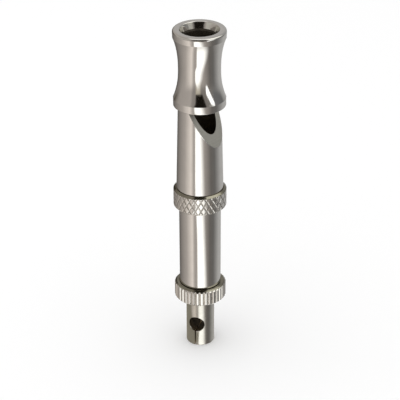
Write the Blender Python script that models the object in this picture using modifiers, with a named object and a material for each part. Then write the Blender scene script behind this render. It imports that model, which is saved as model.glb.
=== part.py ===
"""Ultrasonic dog whistle with a tuning screw, modelled as its separate pieces.

The whistle stands upright on the flat end of its stem, with the origin at the middle of that end and +Z
up. The sound window faces -Y. Sizes are in metres and angles in degrees.
"""

from math import cos, pi, radians, sin, tan

import bmesh
import bpy

# Fits: between pieces that are fixed together, and around pieces that turn or slide
SEAT_GAP = 0.00005
RUNNING_GAP = 0.0001

# Tuning screw, and the bush that it turns in
SCREW_RADIUS = 0.0025
SCREW_TIP_CHAMFER = 0.0003
BUSH_WALL = 0.00055
BUSH_LENGTH = 0.006
BUSH_LEAD_IN = 0.0003
TUNING_TRAVEL = 0.009
STOP_STEP = 0.0004
TENON_RADIUS = 0.0018
TENON_LENGTH = 0.0036

# Bore of both barrels and the mouthpiece
BORE_RADIUS = SCREW_RADIUS + RUNNING_GAP + BUSH_WALL + SEAT_GAP

# Stem, with its lanyard hole and the saw slit below the hole
STEM_RADIUS = 0.00286
STEM_LENGTH = 0.012
STEM_END_CHAMFER = 0.00018
LANYARD_HOLE_RADIUS = 0.00166
LANYARD_HOLE_HEIGHT = 0.00505
LANYARD_HOLE_TURN = -71.0
SLIT_WIDTH = 0.00028
SLIT_OFFSET = 0.0003

# Lock nut and its washer
NUT_HEIGHT = 0.00349
NUT_WALL = 0.00223
NUT_TOP_CHAMFER = 0.00043
NUT_END_CHAMFER = 0.00035
NUT_OVER_STEM = 0.00102
NUT_BACK_OFF = 0.0008
NUT_RIBS = 36
NUT_RIB_DEPTH = 0.00026
WASHER_WIDTH = 0.0012
WASHER_THICKNESS = 0.0005
WASHER_STANDOUT = 0.00006

# Lower barrel and grip collar
LOWER_BARREL_LENGTH = 0.0176
LOWER_WALL = 0.00102
LOWER_END_CHAMFER = 0.00012
SCREW_ON_WALL = 0.00055
SCREW_ON_LENGTH = 0.0048
COLLAR_HEIGHT = 0.00413
COLLAR_WALL = 0.00105
COLLAR_TOP_CHAMFER = 0.00042
COLLAR_END_CHAMFER = 0.00033
DIAMONDS_AROUND = 28
DIAMOND_HALF_ROWS = 3
DIAMOND_DEPTH = 0.00028

# Upper barrel and sound window
UPPER_BARREL_LENGTH = 0.0179
UPPER_TOP_WALL = 0.00108
UPPER_END_WALL = 0.00151
SPIGOT_WALL = 0.00075
SPIGOT_LENGTH = 0.0032
WINDOW_SLOPE = 26.7
WINDOW_FROM_AXIS = 0.00042

# Plunger and its seal
LIP_TO_PLUNGER = 0.0014
PLUNGER_HEIGHT = 0.004
PLUNGER_EDGE_CHAMFER = 0.0002
PIVOT_RADIUS = 0.0012
RIVET_RADIUS = 0.0017
RIVET_HEIGHT = 0.0006
RIVET_RECESS = 0.0009
SEAL_SECTION_RADIUS = 0.0005

# Mouthpiece and fipple plug
MOUTHPIECE_LENGTH = 0.01569
MOUTH_CONE_WIDTH = 0.00055
MOUTH_CONE_DEPTH = 0.0013
RIM_LAND = 0.00095
RIM_ROUND = 0.00057
RIM_BAND = 0.00092
WAIST_HEIGHT = 0.00732
WAIST_WALL = 0.00097
FOOT_WALL = 0.00118
FOOT_HEIGHT = 0.00157
FOOT_ROUND = 0.00016
UPPER_CURVE = 2.49
LOWER_CURVE = 2.23
PLUG_LENGTH = 0.0055
PLUG_LEAD_IN = 0.0004
WINDWAY_DEPTH = 0.00055

# Facets around the round pieces
SEGMENTS = 48
SMALL_SEGMENTS = 32
RIB_STEPS = 3
CURVE_STEPS = 9
ROUND_STEPS = 3
SEAL_SECTION_STEPS = 12
SMOOTH_ANGLE = 30.0
SAME_PLACE = 0.000001

# Radii that follow from the bore
LOWER_RADIUS = BORE_RADIUS + LOWER_WALL
SCREW_ON_RADIUS = BORE_RADIUS + SCREW_ON_WALL
COLLAR_BORE = LOWER_RADIUS + SEAT_GAP
COLLAR_RADIUS = COLLAR_BORE + COLLAR_WALL
SPIGOT_RADIUS = BORE_RADIUS + SPIGOT_WALL
SOCKET_RADIUS = SPIGOT_RADIUS + SEAT_GAP
MOUTH_RADIUS = BORE_RADIUS + MOUTH_CONE_WIDTH
RIM_RADIUS = MOUTH_RADIUS + RIM_LAND + RIM_ROUND
WAIST_RADIUS = BORE_RADIUS + WAIST_WALL
FOOT_RADIUS = SOCKET_RADIUS + FOOT_WALL
THREAD_BORE = SCREW_RADIUS + RUNNING_GAP
WASHER_RADIUS = THREAD_BORE + WASHER_WIDTH
STEM_RECESS = STEM_RADIUS + RUNNING_GAP
NUT_RADIUS = STEM_RECESS + NUT_WALL

# Heights, from the end of the stem up to the rim
NUT_BOTTOM = STEM_LENGTH - NUT_OVER_STEM
NUT_TOP = NUT_BOTTOM + NUT_HEIGHT
WASHER_TOP = NUT_TOP + WASHER_STANDOUT
LOWER_BOTTOM = WASHER_TOP + SEAT_GAP
COLLAR_BOTTOM = LOWER_BOTTOM + LOWER_BARREL_LENGTH
COLLAR_TOP = COLLAR_BOTTOM + COLLAR_HEIGHT
UPPER_BOTTOM = COLLAR_TOP + SEAT_GAP
UPPER_TOP = UPPER_BOTTOM + UPPER_BARREL_LENGTH
MOUTHPIECE_BOTTOM = UPPER_TOP + SEAT_GAP
MOUTHPIECE_TOP = MOUTHPIECE_BOTTOM + MOUTHPIECE_LENGTH
BUSH_TOP = LOWER_BOTTOM + BUSH_LENGTH
LIP_HEIGHT = UPPER_TOP - (BORE_RADIUS - WINDOW_FROM_AXIS) / tan(radians(WINDOW_SLOPE))
PLUNGER_TOP = LIP_HEIGHT - LIP_TO_PLUNGER
PLUNGER_BOTTOM = PLUNGER_TOP - PLUNGER_HEIGHT

NICKEL = (0.74, 0.72, 0.68)
BRASS = (0.72, 0.56, 0.28)
RUBBER = (0.02, 0.02, 0.02)
FIBRE = (0.16, 0.09, 0.05)


def clear_scene():
    for old in list(bpy.data.objects):
        bpy.data.objects.remove(old, do_unlink=True)


def new_collection(name):
    collection = bpy.data.collections.new(name)
    bpy.context.scene.collection.children.link(collection)
    return collection


def finish_material(name, colour, roughness, metallic):
    material = bpy.data.materials.new(name)
    material.use_nodes = True
    shader = material.node_tree.nodes["Principled BSDF"]
    shader.inputs["Base Color"].default_value = (*colour, 1.0)
    shader.inputs["Roughness"].default_value = roughness
    shader.inputs["Metallic"].default_value = metallic
    return material


def plated(name):
    return finish_material(f"{name}_nickel", NICKEL, 0.16, 1.0)


def plain_brass(name):
    return finish_material(f"{name}_brass", BRASS, 0.32, 1.0)


def arc(centre, radius, start, end, steps):
    """Points (radius, height) along an arc, from the start angle to the end angle."""
    points = []
    for step in range(steps + 1):
        angle = radians(start + (end - start) * step / steps)
        points.append((centre[0] + radius * cos(angle), centre[1] + radius * sin(angle)))
    return points


def curve_between(start, end, power, fall):
    """Points after the start, on a curve that is flat at its end (fall) or at its start (not fall)."""
    points = []
    for step in range(1, CURVE_STEPS + 1):
        share = step / CURVE_STEPS
        swing = 1 - (1 - share) ** power if fall else share**power
        radius = start[0] + (end[0] - start[0]) * swing
        points.append((radius, start[1] + (end[1] - start[1]) * share))
    return points


def turned(name, profile, material, closed=True, steps=SEGMENTS):
    """A turned piece. Its profile runs down the outer side, and back up the bore if it is closed."""
    mesh = bpy.data.meshes.new(name)
    count = len(profile)
    edges = [(i, i + 1) for i in range(count - 1)]
    if closed:
        edges.append((count - 1, 0))
    mesh.from_pydata([(radius, 0.0, height) for radius, height in profile], edges, [])
    piece = bpy.data.objects.new(name, mesh)
    PARTS.objects.link(piece)
    piece.data.materials.append(material)
    screw = piece.modifiers.new("turn", "SCREW")
    screw.axis = "Z"
    screw.angle = 2 * pi
    screw.steps = steps
    screw.render_steps = steps
    screw.use_merge_vertices = True
    screw.merge_threshold = SAME_PLACE
    make_mesh(piece)
    shade_round(piece)
    return piece


def make_mesh(piece):
    """Replaces the piece's modifiers with the mesh that they make."""
    evaluated = piece.evaluated_get(bpy.context.evaluated_depsgraph_get())
    made = bpy.data.meshes.new_from_object(evaluated)
    piece.modifiers.clear()
    piece.data = made


def shade_round(piece):
    piece.data.shade_smooth()
    piece.data.set_sharp_from_angle(angle=radians(SMOOTH_ANGLE))


def as_cutter(cutter):
    CUTTERS.objects.link(cutter)
    cutter.hide_render = True
    cutter.display_type = "WIRE"
    return cutter


def cut(piece, cutter):
    boolean = piece.modifiers.new(cutter.name, "BOOLEAN")
    boolean.operation = "DIFFERENCE"
    boolean.solver = "EXACT"
    boolean.object = cutter


def block_cutter(name, low, high):
    """A box from its lowest to its highest corner."""
    mesh = bpy.data.meshes.new(name)
    shape = bmesh.new()
    bmesh.ops.create_cube(shape, size=1.0)
    for vert in shape.verts:
        for axis in range(3):
            vert.co[axis] = high[axis] if vert.co[axis] > 0 else low[axis]
    shape.to_mesh(mesh)
    shape.free()
    return as_cutter(bpy.data.objects.new(name, mesh))


def rod_cutter(name, radius, length):
    """A cylinder along Y."""
    mesh = bpy.data.meshes.new(name)
    shape = bmesh.new()
    bmesh.ops.create_cone(
        shape, cap_ends=True, segments=SMALL_SEGMENTS, radius1=radius, radius2=radius, depth=length
    )
    shape.to_mesh(mesh)
    shape.free()
    cutter = as_cutter(bpy.data.objects.new(name, mesh))
    cutter.rotation_euler.x = radians(90)
    return cutter


def wedge_cutter(name, outline, width):
    """A prism across X on an outline of (y, z) points."""
    mesh = bpy.data.meshes.new(name)
    shape = bmesh.new()
    corners = [shape.verts.new((-width / 2, y, z)) for y, z in outline]
    side = shape.faces.new(corners)
    grown = bmesh.ops.extrude_face_region(shape, geom=[side])
    moved = [item for item in grown["geom"] if isinstance(item, bmesh.types.BMVert)]
    bmesh.ops.translate(shape, verts=moved, vec=(width, 0.0, 0.0))
    bmesh.ops.recalc_face_normals(shape, faces=shape.faces)
    shape.to_mesh(mesh)
    shape.free()
    return as_cutter(bpy.data.objects.new(name, mesh))


def axis_empty(name, height):
    empty = bpy.data.objects.new(name, None)
    empty.location.z = height
    PARTS.objects.link(empty)
    return empty


def carried_by(empty, *pieces):
    for piece in pieces:
        piece.parent = empty
        piece.location = -empty.location


def column_of(vert, columns):
    """The vertex's place around the axis, counted in columns."""
    angle = vert.co.xy.angle_signed((1.0, 0.0))
    return round(angle / (2 * pi) * columns) % columns


def knurl(piece, rows, columns, depth, folds):
    """Presses a knurl into the outer rows of a turned piece, given as (radius, height) points.

    folds says which points, by column and row, the grooves join. Those on the wall sink to the depth of
    the grooves, and those on the first and last rows, the inner edges of the chamfers, stay.
    """
    shape = bmesh.new()
    shape.from_mesh(piece.data)
    folded = []
    sunk = []
    for vert in shape.verts:
        for row, (radius, height) in enumerate(rows):
            off_row = max(abs(vert.co.xy.length - radius), abs(vert.co.z - height))
            if off_row < SAME_PLACE and folds(column_of(vert, columns), row):
                folded.append(vert)
                if 0 < row < len(rows) - 1:
                    sunk.append(vert)
    bmesh.ops.connect_verts(shape, verts=folded)
    for vert in sunk:
        vert.co.xy *= 1 - depth / vert.co.xy.length
    shape.to_mesh(piece.data)
    shape.free()
    shade_round(piece)


def make_mouthpiece():
    waist = MOUTHPIECE_BOTTOM + WAIST_HEIGHT
    band_end = (RIM_RADIUS, MOUTHPIECE_TOP - RIM_ROUND - RIM_BAND)
    foot_top = (FOOT_RADIUS, MOUTHPIECE_BOTTOM + FOOT_HEIGHT)
    socket_top = MOUTHPIECE_BOTTOM + SPIGOT_LENGTH
    rim_centre = (RIM_RADIUS - RIM_ROUND, MOUTHPIECE_TOP - RIM_ROUND)
    foot_centre = (FOOT_RADIUS - FOOT_ROUND, MOUTHPIECE_BOTTOM + FOOT_ROUND)
    profile = [(MOUTH_RADIUS, MOUTHPIECE_TOP)]
    profile += arc(rim_centre, RIM_ROUND, 90, 0, ROUND_STEPS)
    profile.append(band_end)
    profile += curve_between(band_end, (WAIST_RADIUS, waist), UPPER_CURVE, fall=True)
    profile += curve_between((WAIST_RADIUS, waist), foot_top, LOWER_CURVE, fall=False)
    profile += arc(foot_centre, FOOT_ROUND, 0, -90, ROUND_STEPS)
    profile += [
        (SOCKET_RADIUS, MOUTHPIECE_BOTTOM),
        (SOCKET_RADIUS, socket_top),
        (BORE_RADIUS, socket_top),
        (BORE_RADIUS, MOUTHPIECE_TOP - MOUTH_CONE_DEPTH),
    ]
    turned("mouthpiece", profile, plated("mouthpiece"))


def make_fipple_plug():
    """The plug fills the bore apart from the windway, a flat on the window's side."""
    radius = BORE_RADIUS - SEAT_GAP
    top = UPPER_TOP + PLUG_LENGTH
    profile = [
        (0.0, top),
        (radius - PLUG_LEAD_IN, top),
        (radius, top - PLUG_LEAD_IN),
        (radius, UPPER_TOP),
        (0.0, UPPER_TOP),
    ]
    plug = turned("fipple_plug", profile, plain_brass("fipple_plug"), closed=False)
    flat = BORE_RADIUS - WINDWAY_DEPTH
    outline = [
        (-flat, UPPER_TOP - PLUG_LENGTH),
        (-2 * BORE_RADIUS, UPPER_TOP - PLUG_LENGTH),
        (-2 * BORE_RADIUS, top + PLUG_LENGTH),
        (-flat, top + PLUG_LENGTH),
    ]
    cut(plug, wedge_cutter("windway_cutter", outline, 4 * BORE_RADIUS))


def make_upper_barrel():
    top_radius = BORE_RADIUS + UPPER_TOP_WALL
    end_radius = BORE_RADIUS + UPPER_END_WALL
    spigot_top = UPPER_TOP + SPIGOT_LENGTH
    thread_radius = SCREW_ON_RADIUS + SEAT_GAP
    thread_top = UPPER_BOTTOM + SCREW_ON_LENGTH
    profile = [
        (SPIGOT_RADIUS, spigot_top),
        (SPIGOT_RADIUS, UPPER_TOP),
        (top_radius, UPPER_TOP),
        (end_radius, UPPER_BOTTOM),
        (thread_radius, UPPER_BOTTOM),
        (thread_radius, thread_top),
        (BORE_RADIUS, thread_top),
        (BORE_RADIUS, spigot_top),
    ]
    barrel = turned("upper_barrel", profile, plated("upper_barrel"))
    reach = 2 * end_radius
    foot = UPPER_TOP - (reach - WINDOW_FROM_AXIS) / tan(radians(WINDOW_SLOPE))
    outline = [(-WINDOW_FROM_AXIS, UPPER_TOP), (-reach, UPPER_TOP), (-reach, foot)]
    cut(barrel, wedge_cutter("window_cutter", outline, 2 * reach))


def make_grip_collar():
    """The collar's diamonds: points on its wall lie in or stand out by turns, up and around."""
    columns = 2 * DIAMONDS_AROUND
    first = COLLAR_TOP - COLLAR_TOP_CHAMFER
    last = COLLAR_BOTTOM + COLLAR_END_CHAMFER
    pitch = (first - last) / DIAMOND_HALF_ROWS
    rows = [(COLLAR_RADIUS - COLLAR_TOP_CHAMFER, COLLAR_TOP)]
    rows += [(COLLAR_RADIUS, first - pitch * row) for row in range(DIAMOND_HALF_ROWS + 1)]
    rows.append((COLLAR_RADIUS - COLLAR_END_CHAMFER, COLLAR_BOTTOM))
    profile = [(COLLAR_BORE, COLLAR_TOP), *rows, (COLLAR_BORE, COLLAR_BOTTOM)]
    collar = turned("grip_collar", profile, plated("grip_collar"), steps=columns)

    def folds(column, row):
        return (column + row) % 2 == 0

    knurl(collar, rows, columns, DIAMOND_DEPTH, folds)


def make_lower_barrel():
    screw_on_top = COLLAR_TOP + SCREW_ON_LENGTH
    profile = [
        (SCREW_ON_RADIUS, screw_on_top),
        (SCREW_ON_RADIUS, COLLAR_TOP),
        (LOWER_RADIUS, COLLAR_TOP),
        (LOWER_RADIUS, LOWER_BOTTOM + LOWER_END_CHAMFER),
        (LOWER_RADIUS - LOWER_END_CHAMFER, LOWER_BOTTOM),
        (BORE_RADIUS, LOWER_BOTTOM),
        (BORE_RADIUS, screw_on_top),
    ]
    turned("lower_barrel", profile, plated("lower_barrel"))


def make_thread_bush():
    radius = BORE_RADIUS - SEAT_GAP
    profile = [
        (radius, BUSH_TOP),
        (radius, LOWER_BOTTOM),
        (THREAD_BORE + BUSH_LEAD_IN, LOWER_BOTTOM),
        (THREAD_BORE, LOWER_BOTTOM + BUSH_LEAD_IN),
        (THREAD_BORE, BUSH_TOP - BUSH_LEAD_IN),
        (THREAD_BORE + BUSH_LEAD_IN, BUSH_TOP),
    ]
    turned("thread_bush", profile, plain_brass("thread_bush"))


def make_lock_nut():
    """The nut's ribs: one column of points in each rib lies in, between the chamfers."""
    columns = NUT_RIBS * RIB_STEPS
    recess_radius = WASHER_RADIUS + RUNNING_GAP
    recess_floor = WASHER_TOP - WASHER_THICKNESS - SEAT_GAP
    stem_recess_top = STEM_LENGTH + NUT_BACK_OFF + RUNNING_GAP
    rows = [
        (NUT_RADIUS - NUT_TOP_CHAMFER, NUT_TOP),
        (NUT_RADIUS, NUT_TOP - NUT_TOP_CHAMFER),
        (NUT_RADIUS, NUT_BOTTOM + NUT_END_CHAMFER),
        (NUT_RADIUS - NUT_END_CHAMFER, NUT_BOTTOM),
    ]
    profile = [
        (recess_radius, NUT_TOP),
        *rows,
        (STEM_RECESS, NUT_BOTTOM),
        (STEM_RECESS, stem_recess_top),
        (THREAD_BORE, stem_recess_top),
        (THREAD_BORE, recess_floor),
        (recess_radius, recess_floor),
    ]
    nut = turned("lock_nut", profile, plated("lock_nut"), steps=columns)

    def folds(column, row):
        in_groove = column % RIB_STEPS == RIB_STEPS - 1
        on_chamfer = row in (0, len(rows) - 1)
        return in_groove != on_chamfer

    knurl(nut, rows, columns, NUT_RIB_DEPTH, folds)
    return nut


def make_nut_washer():
    bottom = WASHER_TOP - WASHER_THICKNESS
    profile = [
        (WASHER_RADIUS, WASHER_TOP),
        (WASHER_RADIUS, bottom),
        (THREAD_BORE, bottom),
        (THREAD_BORE, WASHER_TOP),
    ]
    return turned("nut_washer", profile, finish_material("nut_washer_fibre", FIBRE, 0.7, 0.0))


def make_tuning_screw():
    """Rivet head, pivot for the plunger, plain rod down to its stop, thread, and the tenon in the stem."""
    head_bottom = PLUNGER_TOP - RIVET_RECESS + RUNNING_GAP
    rod_top = PLUNGER_BOTTOM - RUNNING_GAP
    rod_radius = SCREW_RADIUS + STOP_STEP
    stop = BUSH_TOP + TUNING_TRAVEL + RUNNING_GAP
    screw_bottom = STEM_LENGTH + SEAT_GAP
    tenon_bottom = screw_bottom - TENON_LENGTH
    profile = [
        (0.0, head_bottom + RIVET_HEIGHT),
        (RIVET_RADIUS, head_bottom + RIVET_HEIGHT),
        (RIVET_RADIUS, head_bottom),
        (PIVOT_RADIUS, head_bottom),
        (PIVOT_RADIUS, rod_top),
        (rod_radius, rod_top),
        (rod_radius, stop),
        (SCREW_RADIUS, stop),
        (SCREW_RADIUS, screw_bottom),
        (TENON_RADIUS, screw_bottom),
        (TENON_RADIUS, tenon_bottom + SCREW_TIP_CHAMFER),
        (TENON_RADIUS - SCREW_TIP_CHAMFER, tenon_bottom),
        (0.0, tenon_bottom),
    ]
    return turned("tuning_screw", profile, plain_brass("tuning_screw"), closed=False)


def make_stem():
    socket_radius = TENON_RADIUS + SEAT_GAP
    socket_floor = STEM_LENGTH - TENON_LENGTH - SEAT_GAP
    profile = [
        (0.0, socket_floor),
        (socket_radius, socket_floor),
        (socket_radius, STEM_LENGTH),
        (STEM_RADIUS, STEM_LENGTH),
        (STEM_RADIUS, STEM_END_CHAMFER),
        (STEM_RADIUS - STEM_END_CHAMFER, 0.0),
        (0.0, 0.0),
    ]
    stem = turned("stem", profile, plated("stem"), closed=False)
    hole = rod_cutter("lanyard_hole_cutter", LANYARD_HOLE_RADIUS, 4 * STEM_RADIUS)
    hole.location.z = LANYARD_HOLE_HEIGHT
    hole.rotation_euler.z = radians(LANYARD_HOLE_TURN)
    cut(stem, hole)
    slit = block_cutter(
        "slit_cutter",
        (-SLIT_OFFSET - SLIT_WIDTH / 2, -2 * STEM_RADIUS, -STEM_RADIUS),
        (-SLIT_OFFSET + SLIT_WIDTH / 2, 2 * STEM_RADIUS, LANYARD_HOLE_HEIGHT),
    )
    slit.rotation_euler.z = radians(LANYARD_HOLE_TURN)
    cut(stem, slit)
    return stem


def seal_ring():
    """Radius of the seal's section centre, and the height of the seal in the plunger."""
    return BORE_RADIUS - SEAT_GAP - SEAL_SECTION_RADIUS, (PLUNGER_TOP + PLUNGER_BOTTOM) / 2


def make_plunger():
    radius = BORE_RADIUS - RUNNING_GAP
    ring_radius, ring_height = seal_ring()
    groove_half = SEAL_SECTION_RADIUS + SEAT_GAP
    groove_floor = ring_radius - groove_half
    pivot_bore = PIVOT_RADIUS + RUNNING_GAP
    recess_radius = RIVET_RADIUS + RUNNING_GAP
    recess_floor = PLUNGER_TOP - RIVET_RECESS
    edge = PLUNGER_EDGE_CHAMFER
    profile = [
        (recess_radius, PLUNGER_TOP),
        (radius - edge, PLUNGER_TOP),
        (radius, PLUNGER_TOP - edge),
        (radius, ring_height + groove_half),
        (groove_floor, ring_height + groove_half),
        (groove_floor, ring_height - groove_half),
        (radius, ring_height - groove_half),
        (radius, PLUNGER_BOTTOM + edge),
        (radius - edge, PLUNGER_BOTTOM),
        (pivot_bore, PLUNGER_BOTTOM),
        (pivot_bore, recess_floor),
        (recess_radius, recess_floor),
    ]
    return turned("plunger", profile, plain_brass("plunger"))


def make_plunger_seal():
    ring_radius, ring_height = seal_ring()
    section = arc((ring_radius, ring_height), SEAL_SECTION_RADIUS, 90, -270, SEAL_SECTION_STEPS)
    rubber = finish_material("plunger_seal_rubber", RUBBER, 0.6, 0.0)
    return turned("plunger_seal", section[:-1], rubber, steps=SMALL_SEGMENTS)


clear_scene()
PARTS = new_collection("ultrasonic_dog_whistle")
CUTTERS = new_collection("cutters")

make_mouthpiece()
make_fipple_plug()
make_upper_barrel()
make_grip_collar()
make_lower_barrel()
make_thread_bush()
carried_by(axis_empty("lock_nut_axis", NUT_BOTTOM), make_lock_nut(), make_nut_washer())
carried_by(axis_empty("plunger_axis", PLUNGER_BOTTOM), make_plunger(), make_plunger_seal())
carried_by(axis_empty("tuning_axis", STEM_LENGTH), make_tuning_screw(), make_stem())
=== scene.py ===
"""Looks of the ultrasonic dog whistle: finely turned pieces, knurls, thread, nickel finish and studio."""

from collections import Counter
from math import cos, pi, radians, sin, tan

import bmesh
import bpy
from mathutils import Matrix, Vector


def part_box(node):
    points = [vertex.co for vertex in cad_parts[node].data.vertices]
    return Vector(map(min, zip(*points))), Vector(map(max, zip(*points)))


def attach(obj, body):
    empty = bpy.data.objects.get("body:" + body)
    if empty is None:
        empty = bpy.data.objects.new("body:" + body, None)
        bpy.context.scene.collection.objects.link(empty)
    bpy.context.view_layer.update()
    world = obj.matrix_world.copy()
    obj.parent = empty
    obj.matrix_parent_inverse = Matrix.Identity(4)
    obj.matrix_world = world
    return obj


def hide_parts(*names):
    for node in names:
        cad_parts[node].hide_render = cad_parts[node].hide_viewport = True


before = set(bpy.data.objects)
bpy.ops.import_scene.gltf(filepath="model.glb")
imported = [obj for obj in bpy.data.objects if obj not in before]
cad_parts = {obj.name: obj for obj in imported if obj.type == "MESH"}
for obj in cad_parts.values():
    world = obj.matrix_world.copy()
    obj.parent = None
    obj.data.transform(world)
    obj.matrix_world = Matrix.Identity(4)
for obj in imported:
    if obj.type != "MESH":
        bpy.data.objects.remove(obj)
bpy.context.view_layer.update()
MM = 0.001


def heights(node):
    """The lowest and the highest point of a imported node."""
    lowest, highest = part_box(node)
    return lowest.z, highest.z


# Heights of the pieces, as packed
SCREW_LOW, SCREW_HIGH = heights("tuning_screw")
STEM_LOW, STEM_HIGH = heights("stem")
NUT_LOW, NUT_HIGH = heights("lock_nut")
WASHER_LOW, WASHER_HIGH = heights("nut_washer")
BUSH_LOW, BUSH_HIGH = heights("thread_bush")
PLUNGER_LOW, PLUNGER_HIGH = heights("plunger")
LOWER_LOW = heights("lower_barrel")[0]
COLLAR_LOW, COLLAR_HIGH = heights("grip_collar")
UPPER_LOW = heights("upper_barrel")[0]
PLUG_LOW, PLUG_HIGH = heights("fipple_plug")
MOUTH_LOW, MOUTH_HIGH = heights("mouthpiece")
SHOULDER = PLUG_LOW

# Sizes are in metres, and a bare name such as RIM or STEM is a radius

# Play between pieces that move on each other and between pieces that stay put, and a hair's breadth
RUNNING_PLAY = 0.1 * MM
SEAT_PLAY = 0.05 * MM
HAIR = 0.01 * MM

# Roundings of edges, and the share of a side that a rounding can take up
FINE_EDGE = 0.05 * MM
BROKEN_EDGE = 0.12 * MM
LEAD_IN = 0.3 * MM
ROUNDING_LIMIT = 0.49

# Mouthpiece; a rise is above its foot, a depth is below its rim, and a flare is the power of a curve
MOUTH = 3.87 * MM
MOUTH_END = 3.40 * MM
MOUTH_DEPTH = 1.32 * MM
MOUTH_LIP = 0.25 * MM
BORE_LEAD = 0.35 * MM
RIM = 5.27 * MM
RIM_EDGE = 0.57 * MM
BAND_DEPTH = 1.55 * MM
BAND_DRAW_IN = 0.06 * MM
WAIST = 4.17 * MM
WAIST_RISE = 7.32 * MM
FOOT = 5.18 * MM
FOOT_RISE = 1.57 * MM
FOOT_EDGE = 0.16 * MM
RIM_FLARE = 2.49
FOOT_FLARE = 2.23

# Barrels, with the spigot in the mouthpiece's socket, the screw-on joint and the sound window
BORE = 3.20 * MM
SOCKET = 4.00 * MM
SPIGOT = 3.95 * MM
SPIGOT_LENGTH = 3.2 * MM
UPPER_TOP_RADIUS = 4.28 * MM
UPPER_END_RADIUS = 4.71 * MM
UPPER_ROWS = 24
LOWER_RADIUS = 4.22 * MM
SCREW_ON = 3.75 * MM
SCREW_ON_LENGTH = 4.8 * MM
SCREW_ON_EDGE = 0.1 * MM
DARK_EDGE = 0.03 * MM
WINDOW_SLOPE = radians(26.7)
WINDOW_FROM_AXIS = 0.42 * MM
WINDOW_EDGE = 0.09 * MM

# Grip collar
COLLAR_BORE = 4.27 * MM
COLLAR_CREST = 5.32 * MM
COLLAR_TOP_CHAMFER = 0.42 * MM
COLLAR_END_CHAMFER = 0.33 * MM
COLLAR_ROWS = (9, 72, 8)
DIAMONDS = 28
DIAMOND_HEIGHT = 2.05 * MM
DIAMOND_DEPTH = 0.09 * MM
DIAMOND_STEPS = 24

# Lock nut
NUT_CREST = 5.24 * MM
NUT_TOP_CHAMFER = 0.43 * MM
NUT_END_CHAMFER = 0.35 * MM
NUT_ROWS = (9, 6, 8)
NUT_RECESS = 3.9 * MM
NUT_STEM_RECESS = 0.9 * MM
RIBS = 36
RIB_DEPTH = 0.24 * MM
RIB_STEPS = 20
# the nut's top edge is painted darker, as painted shade and reflection
DARK_REFLECTION_DEPTH = 0.25 * MM
# a ring of painted shade where the barrel meets the nut, left off on one side
CORNER_SHADE_WIDTH = 0.14 * MM
UNSHADED_SIDE = radians(-81)
UNSHADED_REACH = radians(40)

# Stem, with its slit and lanyard hole, whose rim is given in hole radii
STEM = 2.89 * MM
STEM_END_EDGE = 0.22 * MM
STEM_SOCKET_DEPTH = 3.65 * MM
HOLE_RADIUS = 1.66 * MM
HOLE_HEIGHT = 5.05 * MM
HOLE_TURN = radians(-71)
HOLE_EDGE = 0.1 * MM
HOLE_RIM = 1.05
SLIT_WIDTH = 0.28 * MM
SLIT_OFFSET = 0.21 * MM

# Tuning screw
PITCH = 0.8 * MM
THREAD_CREST = 2.50 * MM
THREAD_DEPTH = 0.44 * MM
THREAD_RUN_OUT = 0.9 * MM
THREAD_STEPS = 96
ROWS_IN_A_PITCH = 20
TUNING_TRAVEL = 9.0 * MM
ROD = 2.90 * MM
ROD_TOP_EDGE = 0.15 * MM
STOP_EDGE = 0.1 * MM
HEAD = 1.7 * MM
HEAD_HEIGHT = 0.6 * MM
HEAD_EDGE = 0.2 * MM
NECK = 1.2 * MM
TENON = 1.8 * MM

# Pieces inside
PLUG_EDGE = 0.03 * MM
WINDWAY_HEIGHT = 0.55 * MM
PLUNGER_EDGE = 0.2 * MM
HEAD_RECESS = 0.9 * MM
SEAL = 2.65 * MM
SEAL_SECTION = 0.5 * MM
SEAL_STEPS = 24
WASHER_EDGE = 0.04 * MM

# Fineness of the meshes, angles past which an edge stays sharp, and reliefs of the finishes
TURN_STEPS = 192
ROUND_STEPS = 9
FLARE_STEPS = 28
HOLE_STEPS = 96
TURNED_SHARP = radians(14)
ROLLED_SHARP = radians(35)
FINE_RELIEF = 0.01 * MM
COARSE_RELIEF = 0.02 * MM

# Studio: floor, light tent, a card of painted floor shade, sky and lamp
FLOOR_REACH = 4.0
TENT_RADIUS = 0.6
TENT_MIDDLE = 0.04
SHADE_CARD_RADIUS = 26 * MM
SHADE_CARD_FULL = 18 * MM
SHADE_CARD_LIFT = 0.02 * MM
SKY_STRENGTH = 0.93
LAMP_SIZE = 0.9
LAMP_POWER = 1.3
LAMP_PLACE = Vector((-0.15, 0.1, 0.7))
LAMP_AIM = Vector((0, 0, 0.03))

# Camera, in the photograph's view
CAMERA_TURN = radians(-53.4)
CAMERA_BACK = 0.277556
CAMERA_HEIGHT = 0.184655
CAMERA_TILT = radians(61.352)
CAMERA_ROLL = radians(-0.2)
CAMERA_LENS = 141.8
CAMERA_SENSOR = 36.0


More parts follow.
